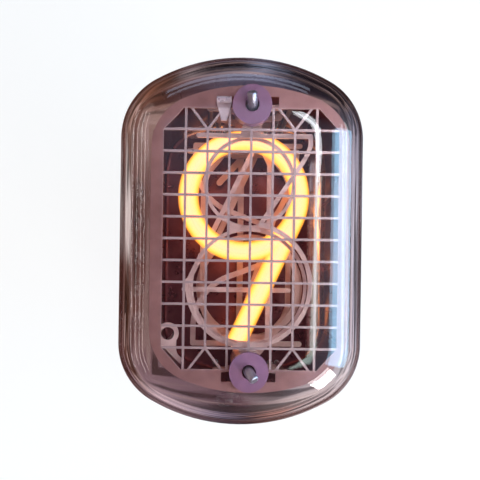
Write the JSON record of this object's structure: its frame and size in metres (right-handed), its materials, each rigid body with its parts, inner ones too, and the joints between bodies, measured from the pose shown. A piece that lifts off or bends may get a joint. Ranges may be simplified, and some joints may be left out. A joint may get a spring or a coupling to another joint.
{
  "type": "nixie tube",
  "caption": "Oblong end-view neon numeral tube with a stack of wire-like numerals behind an etched grid, one numeral lit, standing on its pins.",
  "frame": {"origin": "middle of the pins' lower ends, where the standing tube meets the surface", "axes": "+Z out through the window, +Y to the top of the numerals, +X to the reader's right"},
  "size_m": [0.0206, 0.031, 0.033],
  "materials": {
    "clear_glass": "clear",
    "grid_metal": "satin",
    "shell_metal": "satin",
    "cathode_metal": "satin",
    "lit_cathode": "glowing",
    "pink_ceramic": "matte",
    "rod_metal": "satin",
    "lead_metal": "satin",
    "pin_metal": "satin"
  },
  "bodies": {
    "root": {"glass_bulb": "clear_glass", "glass_base": "clear_glass", "exhaust_tip": "clear_glass", "anode_grid": "grid_metal", "anode_shell": "shell_metal", "comma_cathode": "cathode_metal", "comma_lead": "lead_metal", "anode_lead": "lead_metal", "upper_rod": "rod_metal", "lower_rod": "rod_metal", "upper_front_washer": "pink_ceramic", "lower_front_washer": "pink_ceramic", "upper_rear_washer": "pink_ceramic", "lower_rear_washer": "pink_ceramic", "upper_spacers": "pink_ceramic", "lower_spacers": "pink_ceramic", "grid_strap": "grid_metal", "pin_1": "pin_metal", "pin_2": "pin_metal", "pin_3": "pin_metal", "pin_4": "pin_metal", "pin_5": "pin_metal", "pin_6": "pin_metal", "pin_7": "pin_metal", "pin_8": "pin_metal", "pin_9": "pin_metal", "pin_10": "pin_metal", "pin_11": "pin_metal", "pin_12": "pin_metal", "digit_0": "cathode_metal", "lead_0": "lead_metal", "digit_1": "cathode_metal", "lead_1": "lead_metal", "digit_2": "cathode_metal", "lead_2": "lead_metal", "digit_3": "cathode_metal", "lead_3": "lead_metal", "digit_4": "cathode_metal", "lead_4": "lead_metal", "digit_5": "cathode_metal", "lead_5": "lead_metal", "digit_6": "cathode_metal", "lead_6": "lead_metal", "digit_7": "cathode_metal", "lead_7": "lead_metal", "digit_8": "cathode_metal", "lead_8": "lead_metal", "digit_9": "lit_cathode", "lead_9": "lead_metal"}
  },
  "joints": []
}
